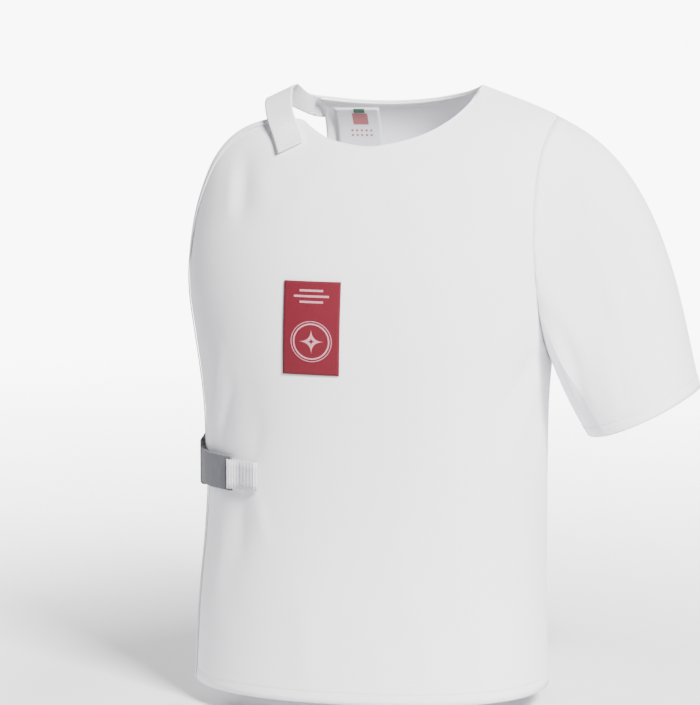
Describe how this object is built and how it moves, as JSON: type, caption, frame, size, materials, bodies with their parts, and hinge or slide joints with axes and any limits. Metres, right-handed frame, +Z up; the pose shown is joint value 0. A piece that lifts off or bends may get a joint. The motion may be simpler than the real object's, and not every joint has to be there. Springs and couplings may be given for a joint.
{
  "type": "one-sleeved fencing plastron jacket",
  "caption": "White woven fencing underarm jacket with a short sleeve on one side, open on the other side, closed by a neck strap and a buckled waist strap, red badge on the chest",
  "frame": {"origin": "middle of the neck opening at the height of the shoulder point beside the neck", "axes": "+X to the wearer's left, the side with the sleeve; -Y to the front; +Z up"},
  "size_m": [0.5131, 0.2438, 0.6041],
  "materials": {
    "white_cloth": "tightly woven matt white cloth",
    "white_trim": "turned edge of the same cloth",
    "white_webbing": "ribbed white webbing",
    "grey_plastic": "satin grey plastic",
    "dark_plastic": "satin dark grey plastic",
    "grey_elastic": "light grey elastic webbing",
    "red_badge": "woven crimson badge",
    "satin_label": "white satin label",
    "green_tag": "small dark green woven tag"
  },
  "bodies": {
    "root": {"front_panel": "white_cloth", "back_panel": "white_cloth", "sleeve": "white_cloth", "underarm_panel": "white_cloth", "back_neck_facing": "white_trim", "side_edge_strip": "white_trim", "neck_strap": "white_webbing", "strap_pad": "white_trim", "waist_tab": "white_webbing", "buckle_male": "grey_plastic", "buckle_female": "dark_plastic", "waist_strap": "grey_elastic", "chest_badge": "red_badge", "care_label": "satin_label", "size_tag": "green_tag"}
  },
  "joints": []
}
